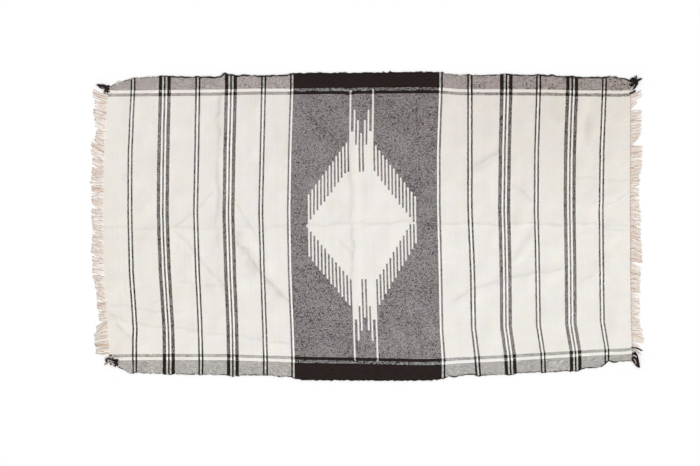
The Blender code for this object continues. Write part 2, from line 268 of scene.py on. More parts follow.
def waves(u, v):
    """Shallow waves, cut off at the floor, where the cloth lies flat."""
    height = np.full(len(u), WAVE_MEAN)
    for length, bearing, phase, top in WAVE_ROWS:
        turn = math.radians(bearing)
        run = u * math.cos(turn) + v * math.sin(turn)
        bent = run + WAVE_BEND * length * np.sin((v - u) / (WAVE_BEND_RUN * length) + phase)
        height = height + top * np.sin(2 * math.pi * bent / length + phase)
    from_edge = np.clip((HALF_WIDTH - np.abs(v)) / WAVE_FADE, 0, 1)
    return np.maximum(height, 0) * from_edge * edge_fade(u, WAVE_FADE)


def edge_fade(u, width):
    """0 at the rug's two short ends, and 1 from this far in."""
    return np.clip((HALF_LENGTH - np.abs(u)) / width, 0, 1)


def draw(u, v):
    """The draw at the places u, v. The stripe inside each border keeps its width."""
    kept = np.clip(np.abs(v), BORDER_LINE, STRIPE_LINE) - BORDER_LINE
    squeezed = (HALF_WIDTH - BORDER_LINE) / (HALF_WIDTH - STRIPE_LINE)
    past = np.maximum(np.abs(v) - STRIPE_LINE, 0)
    place = np.sign(v) * (np.abs(v) - kept + past * (squeezed - 1))
    dip = DIP * np.exp(-(((u - DIP_AT) / DIP_HALF) ** 2))
    dip = dip * np.interp(v, (DIP_FROM, BORDER_LINE, DIP_TO), (0, 1, 0))
    return table_at(DRAW_ROWS, DRAW_V, u, place) - dip


def edge_wave(u, side):
    """How far out a long edge stands from its line, in mm: its inset, ripples and bulges."""
    out = np.where(side > 0, UPPER_INSET, LOWER_INSET)
    top, length = PLAIN_RIPPLE
    out = out + top * np.sin(u / length + side)
    top, length, swell = FADING_RIPPLE
    out = out + top * np.sin(u / length - 2 * side) * np.sin(u / swell)
    top, length, stray = UNEVEN_RIPPLE
    out = out + top * np.sin(u / length + 2 * np.sin(u / stray))
    for place, of_side, top, half_width in EDGE_BULGES:
        reach = np.clip(np.abs(u - place) / half_width, 0, 1)
        out = out + (side == of_side) * top * (0.5 + 0.5 * np.cos(math.pi * reach))
    return out


def crumpled(u, v):
    """The places moved a little, so that folds and creases run unevenly."""
    stray_u = BROAD_STRAY * np.sin(v / 37 + 1) + FINE_STRAY * np.sin(v / 14 + u / 50)
    stray_v = BROAD_STRAY * np.sin(u / 41) + FINE_STRAY * np.sin(u / 15 - v / 45)
    return u + stray_u, v + stray_v


def lay(u, v):
    """Where places on the cloth's underside lie on the floor, in mm, before centring."""
    u, v = np.asarray(u, float), np.asarray(v, float)
    x = u + table_at(DRIFT_ROWS, DRIFT_V, u, v)
    y = v + draw(u, v)
    near_edge = np.clip((np.abs(v) - HALF_WIDTH + BULGE_REACH) / BULGE_REACH, 0, 1) ** 2
    y = y + np.sign(v) * near_edge * edge_wave(u, np.sign(v)) * edge_fade(u, FOLD_FADE)
    z = ridges(FOLD_ROWS, *crumpled(u, v)) * edge_fade(u, FOLD_FADE)
    z = z + CREASE_HEIGHT * ridges(CREASE_ROWS, *crumpled(u, v)) * edge_fade(u, CREASE_FADE)
    return np.stack([x, y, z + waves(u, v)], axis=1)


EDGE_STATIONS = 401
END_STATIONS = 201
FROM_END = 6


def centring():
    """What to add to lay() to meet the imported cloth, in mm."""
    low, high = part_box("cloth")
    us = np.linspace(-HALF_LENGTH + FROM_END, HALF_LENGTH - FROM_END, EDGE_STATIONS)
    edge = np.full(EDGE_STATIONS, HALF_WIDTH)
    upper = edge + table_at(DRAW_ROWS, DRAW_V, us, edge)
    lower = table_at(DRAW_ROWS, DRAW_V, us, -edge) - edge
    vs = np.linspace(-HALF_WIDTH, HALF_WIDTH, END_STATIONS)
    left = lay(np.full(END_STATIONS, us[0]), vs)
    right = lay(np.full(END_STATIONS, us[-1]), vs)
    x = (low.x + high.x) / 2 / MM - (left[:, 0].min() + right[:, 0].max()) / 2
    y = (low.y + high.y) / 2 / MM - (upper.max() + lower.min()) / 2
    return np.array([x, y, 0.0])


CENTRING = centring()


def on_floor(u, v):
    """Places in metres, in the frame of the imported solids."""
    return (lay(u, v) + CENTRING) * MM


def new_piece(name, verts, faces, material, node):
    """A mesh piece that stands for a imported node."""
    mesh = bpy.data.meshes.new(name)
    mesh.from_pydata(verts, [], faces)
    mesh.materials.append(material)
    mesh.polygons.foreach_set("use_smooth", [True] * len(mesh.polygons))
    piece = bpy.data.objects.new(name, mesh)
    bpy.context.scene.collection.objects.link(piece)
    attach(piece, "root")
    if node:
        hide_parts(node)
    return piece


def add_uv(piece, name, at_verts):
    """A UV map, from its value at each of the piece's vertices."""
    corners = np.zeros(len(piece.data.loops), int)
    piece.data.loops.foreach_get("vertex_index", corners)
    layer = piece.data.uv_layers.new(name=name)
    layer.data.foreach_set("uv", at_verts[corners].ravel())


# Materials: how wool shines, and its colours
WOOL_ROUGHNESS = 0.9
WOOL_GLOSS = 0.08
WOOL_SHEEN = 0.03
SHEEN_ROUGHNESS = 0.6
CREAM = (0.86, 0.825, 0.785, 1.0)
STAINED_CREAM = (0.86, 0.775, 0.755, 1.0)
WHITE = (0.97, 0.965, 0.93, 1.0)
DARK = (0.022, 0.014, 0.012, 1.0)
# The fringe's colours run from FRINGE_LOW to FRINGE_HIGH: partly each strand's own tone, partly
# painted shade on the lower-lying strands.
FRINGE_LOW = (0.80, 0.66, 0.57)
FRINGE_HIGH = (0.98, 0.925, 0.86)
FRINGE_RUST = (0.66, 0.47, 0.36)
RUST_SHARE = 0.07
KNOT_WOOLS = {
    # colour, and how dark and how bright a yarn of it may be
    "dark": ((0.022, 0.014, 0.012), 0.6, 1.6),
    "light": ((0.80, 0.74, 0.68), 0.8, 1.0),
    "pink": ((0.66, 0.42, 0.36), 0.8, 1.0),
}


def math_node(operation):
    """A method of Value that adds one math node."""
    return lambda self, *others: self.joined(operation, self, *others)


class Value:
    """A number in a material's node tree. Each sum or comparison of it adds a node."""

    def __init__(self, tree, socket):
        self.tree, self.socket = tree, socket

    def joined(self, operation, *values):
        node = self.tree.nodes.new("ShaderNodeMath")
        node.operation = operation
        for socket, value in zip(node.inputs, values):
            put(self.tree, socket, value)
        return Value(self.tree, node.outputs[0])

    def __rsub__(self, other):
        return self.joined("SUBTRACT", other, self)

    def squared(self):
        return self * self

    __add__ = __radd__ = math_node("ADD")
    __sub__ = math_node("SUBTRACT")
    __mul__ = __rmul__ = __and__ = math_node("MULTIPLY")
    __truediv__ = math_node("DIVIDE")
    __mod__ = math_node("FLOORED_MODULO")
    __lt__ = math_node("LESS_THAN")
    __gt__ = math_node("GREATER_THAN")
    __or__ = most = math_node("MAXIMUM")
    __abs__ = math_node("ABSOLUTE")
    least = math_node("MINIMUM")
    floor = math_node("FLOOR")
    cos = math_node("COSINE")


def put(tree, socket, value):
    """Give a socket a number, a colour, or what another node works out."""
    if isinstance(value, Value):
        tree.links.new(value.socket, socket)
    elif isinstance(value, bpy.types.NodeSocket):
        tree.links.new(value, socket)
    else:
        socket.default_value = value


def vector(tree, x=0.0, y=0.0, z=0.0):
    """Three numbers as one vector, or as one colour."""
    node = tree.nodes.new("ShaderNodeCombineXYZ")
    for socket, value in zip(node.inputs, (x, y, z)):
        put(tree, socket, value)
    return node.outputs[0]


def uv_place(tree, name):
    """The two coordinates that a UV map holds."""
    uv = tree.nodes.new("ShaderNodeUVMap")
    uv.uv_map = name
    split = tree.nodes.new("ShaderNodeSeparateXYZ")
    put(tree, split.inputs["Vector"], uv.outputs["UV"])
    return Value(tree, split.outputs["X"]), Value(tree, split.outputs["Y"])


def chance(tree, x, y=0.0):
    """A number from 0 to 1 that is as good as random for each whole x and y."""
    node = tree.nodes.new("ShaderNodeTexWhiteNoise")
    node.noise_dimensions = "2D"
    put(tree, node.inputs["Vector"], vector(tree, x, y))
    return Value(tree, node.outputs["Value"])


def noise(tree, x, y=0.0, z=0.0, detail=2.0):
    """Smooth noise from -1 to 1 whose lumps are about one unit wide."""
    node = tree.nodes.new("ShaderNodeTexNoise")
    node.inputs["Scale"].default_value = 1.0
    node.inputs["Detail"].default_value = detail
    put(tree, node.inputs["Vector"], vector(tree, x, y, z))
    return (Value(tree, node.outputs["Fac"]) - 0.5) * 2.0


def blend(tree, share, first, second, kind="MIX"):
    """A colour from the first to the second, as the share goes from 0 to 1."""
    node = tree.nodes.new("ShaderNodeMix")
    node.data_type = "RGBA"
    node.blend_type = kind
    for name, value in (("Factor", share), ("A", first), ("B", second)):
        put(tree, node.inputs[name], value)
    return node.outputs["Result"]


def blend_number(share, first, second):
    """The same for two numbers."""
    return share * (second - first) + first


def tinted(tree, colour, strength):
    """A colour made lighter or darker by a number or by another colour."""
    return blend(tree, 1.0, colour, strength, "MULTIPLY")


def wool_shader(name):
    """A new material with wool's dull shine, and its shader."""
    material = bpy.data.materials.new(name)
    material.use_nodes = True
    shader = material.node_tree.nodes["Principled BSDF"]
    shader.inputs["Roughness"].default_value = WOOL_ROUGHNESS
    shader.inputs["Specular IOR Level"].default_value = WOOL_GLOSS
    shader.inputs["Sheen Weight"].default_value = WOOL_SHEEN
    shader.inputs["Sheen Roughness"].default_value = SHEEN_ROUGHNESS
    return material, shader


def bumped(tree, shader, height, distance, strength):
    """Give a shader a bumpy surface. A height of 1 stands for the distance, in metres."""
    node = tree.nodes.new("ShaderNodeBump")
    node.inputs["Distance"].default_value = distance
    node.inputs["Strength"].default_value = strength
    put(tree, node.inputs["Height"], height)
    tree.links.new(node.outputs["Normal"], shader.inputs["Normal"])


# The weft's draft, in picks from the middle of the rug. The shuttle goes there and back for
# each thin line, and 28 picks of cream lie between the groups of lines.
PANEL_HALF = 84
PANEL_WHITE_TO = 86
PANEL_LINE_TO = 88
PAIR_CENTRES = (119, 195, 271)
TRIPLE_CENTRES = (157, 233)
LINE_HALF = 1
GAP_TO = 3
BAND_TO = 7

# The warp's draft, in ends from the middle of the rug. The whole of it sits one end low.
WARP_SHIFT = 1
WARP_LINE_FROM = 216
WARP_LINE_TO = 221
WARP_DARK_FROM = 226

# The lozenge: cream bars in the dark panel, with a shorter step beside each. A table gives the
# first halves in ends from the middle, and a rule (start, slope) the rest.
LOZENGE_SHIFT = -2
BAR_PITCH = 4
BAR_HALVES = (151, 171, 189, 222)
BAR_RULE = (160.8, 7.53)
STEP_HALVES = (88, 131, 154)
STEP_RULE = (110.5, 7.46)
LOZENGE_BARS = 15.5
EXTRA_PICK_FROM = 10
# The weaver's count slipped: from the fourth bar on, the left bars reach higher and the lower
# right ones grow shorter.
SLIP_FROM = 3.5
UPPER_LEFT_SLIP = 5.0
LOWER_LEFT_SLIP = 0.3
UPPER_RIGHT_SLIP = -1.6
LOWER_RIGHT_SLIP = -1.45


def by_row(k, table, rule):
    """The table's value at whole k, and start - slope * k after its end."""
    value = rule[0] - k * rule[1]
    past = k > len(table) - 0.5
    result = past * value
    for index, entry in enumerate(table):
        result = result + (abs(k - index) < 0.5) * entry
    return result


def in_lozenge(pick, end):
    """1 where the dark panel's weft is changed for cream."""
    from_middle = abs(pick - LOZENGE_SHIFT)
    across = from_middle + LINE_HALF - (from_middle > EXTRA_PICK_FROM)
    k = (across / BAR_PITCH).floor()
    on_bar = (across % BAR_PITCH) < 2 * LINE_HALF
    ragged = (chance(pick.tree, k, 7.0) - 0.5) * 2.0
    left, up = pick < LOZENGE_SHIFT, end > 0.0
    upper = left * UPPER_LEFT_SLIP + (1.0 - left) * UPPER_RIGHT_SLIP
    lower = (left * LOWER_LEFT_SLIP + (1.0 - left) * LOWER_RIGHT_SLIP) * (k - SLIP_FROM)
    slip = (k > SLIP_FROM) * (up * upper + (1.0 - up) * lower)
    far = abs(end) + ragged - slip
    bar = on_bar & (far < by_row(k, BAR_HALVES, BAR_RULE))
    step = far < by_row(k, STEP_HALVES, STEP_RULE)
    return (bar | step) & (k < LOZENGE_BARS)


# The beat: how far the weft covers the warp, more so in the stripes. Its slope is for each metre
# along the rug, and its twist for each metre along and across.
BEAT = 1.3
BEAT_SLOPE = -0.04
BEAT_TWIST = 0.3
PAIR_BEAT = 0.28
TRIPLE_BEAT = 0.12
STRIPE_BEAT = 0.3
BORDER_BEAT = 0.04
UPPER_BORDER_BEAT = -0.3
UPPER_BORDER_SLOPE = -0.2

# How uneven the beat is, from place to place, from crossing to crossing and as the yarn swells,
# and how steeply a thread falls away to its sides
BEAT_DRIFT = 0.32
CELL_SPREAD = 0.65
BORDER_CELL_SPREAD = 1.75
SWELL = 0.35
ROUNDNESS = 2.2

# How far a hand-spun thread wanders, in mm, and how its tone changes: as it swells, from thread
# to thread, and where the dark wool has faded
WANDER = 0.9
SWELL_TONE = 0.06
THREAD_TONE = 0.04
FADED = 0.5


def nearest(place, centres):
    """Distance to the nearest of the centres."""
    result = abs(place - centres[0])
    for centre in centres[1:]:
        result = result.least(abs(place - centre))
    return result


# Shares of the light that are lost: painted shade on the far side and its right corner, painted
# shade along the creases, and stains, painted shadow and painted light in the rows below
FAR_FROM = -120
FAR_RUN = 700
FAR_SIDE = 0.075
FAR_CORNER = 0.035
CREASE_SHADE = 0.11
PANEL_CREASE = 2.0
CREASE_MEAN = 0.8
CREASE_PATCHES = 1.2
STAIN_AND_SHADE_RAGGED = 0.5
MOTTLES = (
    # lump length, lump width, share lost or gained, noise level
    (150, 120, 0.024, 5.0),
    (38, 46, 0.03, 8.0),
)

# Soil and painted shade take more of the green and of the blue than of the red.
GREEN_SOIL_AND_SHADE = 1.08
BLUE_SOIL_AND_SHADE = 1.35

# The cream's own tint: patches of it, and how it changes over the rug, for each metre
YELLOW_SPREAD = 0.075
YELLOW_ENDS = 0.0165
YELLOW_TWIST = 0.009
YELLOW_SIDES = -0.013
YELLOW_ACROSS = -0.01
PINK_SPREAD = 0.03
PINK_TWIST = 0.0065
PINK_SIDES = 0.005
PINK_ACROSS = 0.0042
PANEL_TINT = (-0.02, 0.01, 0.04)
# Stains, with painted shadow and painted light: the dark rows from u -548 to -385 lie just below the
# tall fold as painted shadow on its shaded side, and the rows below zero are painted light beside
# folds and creases.
STAIN_AND_SHADE_ROWS = (
    # u, v, half length, half width, share lost (below zero, a brighter place)
    (840, 505, 45, 62, 0.05), (976, 435, 24, 90, 0.07), (-389, 411, 30, 60, 0.05),
    (-955, 530, 60, 34, 0.03), (-1150, -90, 40, 160, 0.02), (-80, 95, 70, 45, 0.025),
    (-146, 80, 30, 42, 0.035), (-548, -105, 20, 34, 0.07), (-521, -160, 20, 36, 0.08),
    (-497, -205, 18, 34, 0.06), (-425, -255, 26, 30, 0.05), (-385, -300, 34, 30, 0.06),
    (-640, 0, 620, 640, 0.022), (640, 330, 600, 330, 0.032), (-698, 327, 32, 100, -0.02),
    (-526, 402, 42, 130, -0.022), (-405, -172, 34, 70, -0.05), (-548, -275, 36, 60, -0.045),
    (-82, 146, 30, 60, -0.03), (-815, -90, 12, 50, -0.03), (-940, 330, 40, 60, 0.02),
    (-820, 350, 60, 80, 0.02), (640, 42, 400, 42, 0.022), (410, -28, 62, 32, 0.03),
    (430, 175, 45, 40, 0.035), (560, 150, 30, 90, -0.02), (470, -390, 70, 60, -0.02),
    (980, -330, 60, 60, -0.02), (-900, -60, 46, 34, 0.025), (1060, -180, 30, 60, 0.02),
    (700, 330, 40, 90, 0.018), (-700, -262, 30, 40, 0.03), (-545, 30, 60, 30, 0.02),
    (-640, 480, 22, 90, 0.03), (-1150, 0, 300, 900, 0.02),
)


def soil_and_shade(tree, u, v, panel):
    """How much of the light each place keeps, as a colour: its stains, mottles and tints, and painted
    shade and painted light.
    """
    # Painted shade: darker towards the far side, and more so towards its right corner.
    far = ((v - FAR_FROM) / FAR_RUN).most(0.0)
    dull = far * far.least(1.0) * (FAR_SIDE + FAR_CORNER * (u / 1000))
    # Stains, and painted shadow and painted light beside the folds.
    for place_u, place_v, half_u, half_v, strength in STAIN_AND_SHADE_ROWS:
        off = ((u - place_u) / half_u).squared() + ((v - place_v) / half_v).squared()
        stain_and_shade = 1.0 - off + STAIN_AND_SHADE_RAGGED * noise(tree, u / 18, v / 18, 6.0)
        dull = dull + strength * stain_and_shade.most(0.0).least(1.0)
    for length, width, strength, level in MOTTLES:
        dull = dull + strength * noise(tree, u / length, v / width, level)

    # Painted shade along the creases: the crease attribute, made patchy and stronger in the dark
    # panel, darkens the colour.
    crease = tree.nodes.new("ShaderNodeAttribute")
    crease.attribute_name = "crease"
    patchy = CREASE_MEAN + CREASE_PATCHES * noise(tree, u / 45, v / 45, 9.0)
    patchy = patchy * (1.0 + PANEL_CREASE * panel)
    crease_shade = CREASE_SHADE * (Value(tree, crease.outputs["Fac"]) * patchy).most(0.0)

    along, across = u / 1000, v / 1000
    yellow = across * (YELLOW_TWIST * along + YELLOW_SIDES * across + YELLOW_ACROSS)
    yellow = YELLOW_ENDS * along.squared() + yellow
    yellow = yellow + YELLOW_SPREAD * noise(tree, u / 80, v / 80, 11.0)
    pink = across * (PINK_TWIST * along + PINK_SIDES * across + PINK_ACROSS)
    pink = pink + PINK_SPREAD * noise(tree, u / 60, v / 60, 12.0)

    red = 1.0 - dull + pink - crease_shade + PANEL_TINT[0] * panel
    green = 1.0 - GREEN_SOIL_AND_SHADE * dull - pink - crease_shade + PANEL_TINT[1] * panel
    blue = 1.0 - BLUE_SOIL_AND_SHADE * dull - yellow - crease_shade + PANEL_TINT[2] * panel
    return vector(tree, red, green, blue)


def dark_lines(from_middle, pair, triple):
    """The dark lines beside the panel, in the pairs and in the triples, by distances in picks."""
    panel_line = (from_middle > PANEL_WHITE_TO) & (from_middle < PANEL_LINE_TO)
    pair_lines = (pair > LINE_HALF) & (pair < GAP_TO)
    triple_lines = (triple < LINE_HALF) | ((triple > GAP_TO) & (triple < BAND_TO))
    return panel_line, pair_lines, triple_lines


def weft_draft(pick, end):
    """Where the panel and the stripes' lines are, and which wefts are dark and which white."""
    from_middle = abs(pick)
    pair = nearest(from_middle, PAIR_CENTRES)
    triple = nearest(from_middle, TRIPLE_CENTRES)
    panel = (from_middle < PANEL_HALF) & (1.0 - in_lozenge(pick, end))
    panel_line, pair_lines, triple_lines = dark_lines(from_middle, pair, triple)
    dark = panel | panel_line | pair_lines | triple_lines
    panel_white = (from_middle > PANEL_HALF) & (from_middle < PANEL_WHITE_TO)
    triple_white = (triple > LINE_HALF) & (triple < GAP_TO)
    white = panel_white | (pair < LINE_HALF) | triple_white
    return panel, pair_lines, triple_lines, dark, white


def warp_draft(end):
    """Which warps are dark, and which white."""
    from_side = abs(end + WARP_SHIFT)
    line = (from_side > WARP_LINE_FROM) & (from_side < WARP_LINE_TO)
    dark = line | (from_side > WARP_DARK_FROM)
    white = (from_side > WARP_LINE_TO) & (from_side < WARP_DARK_FROM)
    return dark, white


def weave_material():
    """Plain weave, thread by thread, from the rug's loom plan."""
    material, shader = wool_shader("plain_weave")
    tree = material.node_tree
    share_u, share_v = uv_place(tree, "OFBake")
    u = (share_u - 0.5) * (2 * HALF_LENGTH)
    v = (share_v - 0.5) * (2 * HALF_WIDTH)

    wander_u = u + WANDER * noise(tree, u / 70, v / 12, 1.0)
    wander_v = v + WANDER * noise(tree, u / 12, v / 70, 2.0)
    along_u, along_v = wander_u / PICK, wander_v / END
    first_u, first_v = along_u.floor(), along_v.floor()
    in_u, in_v = along_u - first_u - 0.5, along_v - first_v - 0.5
    pick, end = first_u + 0.5, first_v + 0.5
    panel, pair_lines, triple_lines, weft_dark, weft_white = weft_draft(pick, end)
    warp_dark, warp_white = warp_draft(end)

    # Which thread is on top: the signs alternate from cell to cell, and where one thread is
    # thick or the weft is beaten hard, it spreads over its neighbours.
    turn = 1.0 - 2.0 * ((first_u + first_v) % 2.0)
    over_u, over_v = (in_u * math.pi).cos(), (in_v * math.pi).cos()
    swell_weft = noise(tree, pick, v / 9, 3.0, 1.0)
    swell_warp = noise(tree, u / 9, end, 4.0, 1.0)
    cell = chance(tree, first_u, first_v) + chance(tree, first_u, first_v + 0.5) - 1.0
    upper_beat = UPPER_BORDER_BEAT + UPPER_BORDER_SLOPE * (u / 1000)
    in_border = blend_number(v > 0.0, BORDER_BEAT, upper_beat)
    in_body = BEAT + (u / 1000) * (BEAT_TWIST * (v / 1000) + BEAT_SLOPE)
    in_body = in_body + PAIR_BEAT * pair_lines + TRIPLE_BEAT * triple_lines
    in_body = in_body + STRIPE_BEAT * warp_white
    beat = blend_number(warp_dark, in_body, in_border)
    beat = beat + BEAT_DRIFT * noise(tree, u / 130, v / 110, 7.0)
    spread = blend_number(warp_dark, CELL_SPREAD, BORDER_CELL_SPREAD)
    lead = beat + spread * cell + SWELL * (swell_weft - swell_warp)
    warp_height = turn * over_u - ROUNDNESS * in_v.squared()
    weft_height = lead - turn * over_v - ROUNDNESS * in_u.squared()
    weft_on_top = weft_height > warp_height
    height = warp_height.most(weft_height)

    tone_weft = 1.0 + SWELL_TONE * swell_weft + THREAD_TONE * (chance(tree, pick, 3.0) - 0.5)
    tone_warp = 1.0 + SWELL_TONE * swell_warp + THREAD_TONE * (chance(tree, end, 5.0) - 0.5)
    beside_dark = warp_dark & (v > 0.0)
    weft = blend(tree, weft_white, blend(tree, beside_dark, CREAM, STAINED_CREAM), WHITE)
    faded = 1.0 + FADED * noise(tree, u / 24, v / 7, 13.0)
    dark = tinted(tree, DARK, vector(tree, faded, faded, faded))
    weft = tinted(tree, blend(tree, weft_dark, weft, dark), tone_weft)
    warp = blend(tree, warp_white, blend(tree, weft_dark, CREAM, STAINED_CREAM), WHITE)
    warp = tinted(tree, blend(tree, warp_dark, warp, dark), tone_warp)
    colour = blend(tree, weft_on_top, warp, weft)
    colour = tinted(tree, colour, soil_and_shade(tree, u, v, panel))
    tree.links.new(colour, shader.inputs["Base Color"])
    bumped(tree, shader, height, 0.0005, 0.5)
    return material


TURNS_A_MM = 0.9
TWIST_TONE = 0.06
FUZZ_TONE = 0.10
SLUB_TONE = 0.08


def yarn_material(name):
    """Hand-spun yarn, each in its own colour, with the twist's ripple, slubs and fuzz."""
    material, shader = wool_shader(name)
    tree = material.node_tree
    colour = tree.nodes.new("ShaderNodeAttribute")
    colour.attribute_name = "wool"
    along, around = uv_place(tree, "yarn")
    twist = ((along * TURNS_A_MM + around) * (2 * math.pi)).cos()
    fuzz = noise(tree, along * 1.4, around * 2.0, 1.0, 3.0)
    slub = noise(tree, along / 14, 0.0, 2.0, 2.0)
    tone = 1.0 + TWIST_TONE * twist + FUZZ_TONE * fuzz + SLUB_TONE * slub
    dyed = tinted(tree, colour.outputs["Color"], tone)
    tree.links.new(dyed, shader.inputs["Base Color"])
    bumped(tree, shader, 0.6 * twist + 0.4 * fuzz, 0.0004, 0.5)
    return material


def make_cloth():
    """The cloth: a fine upper face, and an underside of cells twice as wide."""
    us = np.linspace(-HALF_LENGTH, HALF_LENGTH, CELLS_ALONG + 1)
    vs = np.linspace(-HALF_WIDTH, HALF_WIDTH, CELLS_ACROSS + 1)
    verts, faces, vert_uv = [], [], []

    def grid(u_list, v_list, lift):
        gu, gv = (g.ravel() for g in np.meshgrid(u_list, v_list, indexing="ij"))
        points = on_floor(gu, gv) + (0, 0, lift * MM)
        first = len(verts)
        verts.extend(points.tolist())
        vert_uv.extend(zip(gu / (2 * HALF_LENGTH) + 0.5, gv / (2 * HALF_WIDTH) + 0.5))
        index = first + np.arange(len(gu)).reshape(len(u_list), len(v_list))
        quads = np.stack([index[:-1, :-1], index[1:, :-1], index[1:, 1:], index[:-1, 1:]], axis=2)
        return index, quads.reshape(-1, 4)

    upper, upper_faces = grid(us, vs, CLOTH_THICK)
    under, under_faces = grid(us[::2], vs[::2], 0)
    faces.extend(upper_faces.tolist())
    faces.extend(under_faces[:, ::-1].tolist())

    def rim(fine, coarse):
        for k in range(len(coarse) - 1):
            a, b, c = fine[2 * k], fine[2 * k + 1], fine[2 * k + 2]
            faces.append([coarse[k], coarse[k + 1], c, b, a])

    rim(upper[:, 0], under[:, 0])
    rim(upper[::-1, -1], under[::-1, -1])
    rim(upper[-1], under[-1])
    rim(upper[0, ::-1], under[0, ::-1])
    cloth = new_piece("woven_cloth", verts, faces, weave_material(), "cloth")
    place = (np.array(vert_uv) - 0.5) * (2 * HALF_LENGTH, 2 * HALF_WIDTH)
    # The crease attribute: how much painted shade each vertex gets from the fine creases.
    sharp = [(*row[:4], row[4] / FULL_CREASE, CREASE_LINE) for row in CREASE_ROWS]
    crease_shade_layer = cloth.data.attributes.new("crease", "FLOAT", "POINT")
    crease_shade_layer.data.foreach_set("value", ridges(sharp, *crumpled(place[:, 0], place[:, 1])))
    add_uv(cloth, "OFBake", np.array(vert_uv))
    return cloth


def tubes(name, paths, radii, sides, colours, material, node):
    """Yarns as one piece: paths are (yarn, point, xyz) and radii (yarn, point), in mm."""
    paths, radii = np.asarray(paths, float), np.asarray(radii, float)
    count, points = paths.shape[:2]
    ahead = np.gradient(paths, axis=1)
    ahead /= np.linalg.norm(ahead, axis=2, keepdims=True)
    side = np.cross([0.0, 0.0, 1.0], ahead[:, 0])
    side /= np.linalg.norm(side, axis=1, keepdims=True)
    rings, run = [], np.zeros(count)
    uv_along = []
    for k in range(points):
        side = side - np.sum(side * ahead[:, k], axis=1, keepdims=True) * ahead[:, k]
        side /= np.linalg.norm(side, axis=1, keepdims=True)
        other = np.cross(ahead[:, k], side)
        if k:
            run = run + np.linalg.norm(paths[:, k] - paths[:, k - 1], axis=1)
        uv_along.append(run)
        for s in range(sides):
            turn = 2 * math.pi * s / sides
            off = math.cos(turn) * side + math.sin(turn) * other
            rings.append(paths[:, k] + radii[:, k, None] * off)
    verts = np.stack(rings, axis=1).reshape(-1, 3) * MM
    verts[:, 2] = np.maximum(verts[:, 2], 0)
    index = np.arange(len(verts)).reshape(count, points, sides)
    turned = np.roll(index, -1, axis=2)
    quads = np.stack([index[:, :-1], turned[:, :-1], turned[:, 1:], index[:, 1:]], axis=3)
    caps = np.stack([index[:, 0, ::-1], index[:, -1]], axis=1)
    faces = quads.reshape(-1, 4).tolist() + caps.reshape(-1, sides).tolist()
    piece = new_piece(name, verts.tolist(), faces, material, node)
    along = np.stack(uv_along, axis=1)[:, :, None].repeat(sides, axis=2).ravel()
    around = np.tile(np.arange(sides) / sides, count * points)
    add_uv(piece, "yarn", np.stack([along, around], axis=1))
    wool = np.ones((len(verts), 4))
    wool[:, :3] = np.repeat(np.asarray(colours, float)[:, :3], points * sides, axis=0)
    dyes = piece.data.color_attributes.new("wool", "FLOAT_COLOR", "POINT")
    dyes.data.foreach_set("color", wool.ravel())
    return piece


def smooth_path(places, count):
    """A smooth curve through the places, as evenly shared points."""
    places = np.array(places, float)
    stations = np.concatenate([[0], np.cumsum(np.linalg.norm(np.diff(places, axis=0), axis=1))])
    return smooth_weights(stations, np.linspace(0, stations[-1], count)) @ places


# A knot's bundle: points on its middle line, and its yarns' points, sides, radius and twist
CURVE_POINTS = 60
KNOT_POINTS = 12
KNOT_SIDES = 6
KNOT_YARN_RADIUS = 1.55
TWIST = 2.6


def bundle(places, yarns, start_radius, end_radius, rng):
    """Paths of yarns that run together along a curve and spread or close up at its end."""
    turn = rng.uniform(0, 2 * math.pi, yarns)
    out = np.sqrt(rng.uniform(0.02, 1, yarns))
    reach = rng.uniform(0.82, 1.04, yarns)
    share = np.linspace(0, 1, KNOT_POINTS)
    middle = smooth_path(places, CURVE_POINTS)
    stations = np.arange(CURVE_POINTS)
    paths = np.zeros((yarns, KNOT_POINTS, 3))
    for k in range(yarns):
        at = np.clip(share * reach[k], 0, 1) * stations[-1]
        line = np.stack([np.interp(at, stations, middle[:, axis]) for axis in range(3)], axis=1)
        ahead = np.gradient(line[:, :2], axis=0)
        ahead /= np.linalg.norm(ahead, axis=1, keepdims=True)
        side = np.stack([-ahead[:, 1], ahead[:, 0], np.zeros(KNOT_POINTS)], axis=1)
        radius = (start_radius + (end_radius - start_radius) * share) * out[k]
        angle = turn[k] + TWIST * share
        line = line + side * (radius * np.cos(angle))[:, None]
        line[:, 2] += 0.7 * radius * np.sin(angle)
        paths[k] = line
    paths[:, 1:-1, :2] += rng.normal(0, 0.35, (yarns, KNOT_POINTS - 2, 2))
    paths[:, :, 2] = np.maximum(paths[:, :, 2], KNOT_YARN_RADIUS + 0.1)
    return paths


# The fringe: two or three yarns cling together in each strand, and the strands lean in tufts. A
# pair of numbers is the least and the most.
FRINGE_POINTS = 10
FRINGE_SIDES = 5
YARN_RADIUS = 1.75
STRAND_BREAK = 0.42
STRAND_REACH = (0.92, 1.04)
YARN_REACH = (0.95, 1.02)
STRAND_LEAN = 3.2
YARN_LEAN = 0.8
TO_TUFT = (0.04, 0.16)
TO_STRAND = 0.2
STRAND_LIFT = 3.0
YARN_LIFT = 0.9
STRAND_BEND = 2.0
YARN_WAVE = 1.1
ROOT_INSET = 5


def tuft_of(rows, v):
    """Lean, reach and middle of the tuft that each place across the rug belongs to."""
    starts = np.array([row[0] for row in rows] + [BORDER_LINE])
    k = np.clip(np.searchsorted(starts, v, side="right") - 1, 0, len(rows) - 1)
    rows = np.array(rows, float)
    return rows[k, 1], rows[k, 2], (starts[k] + starts[k + 1]) / 2


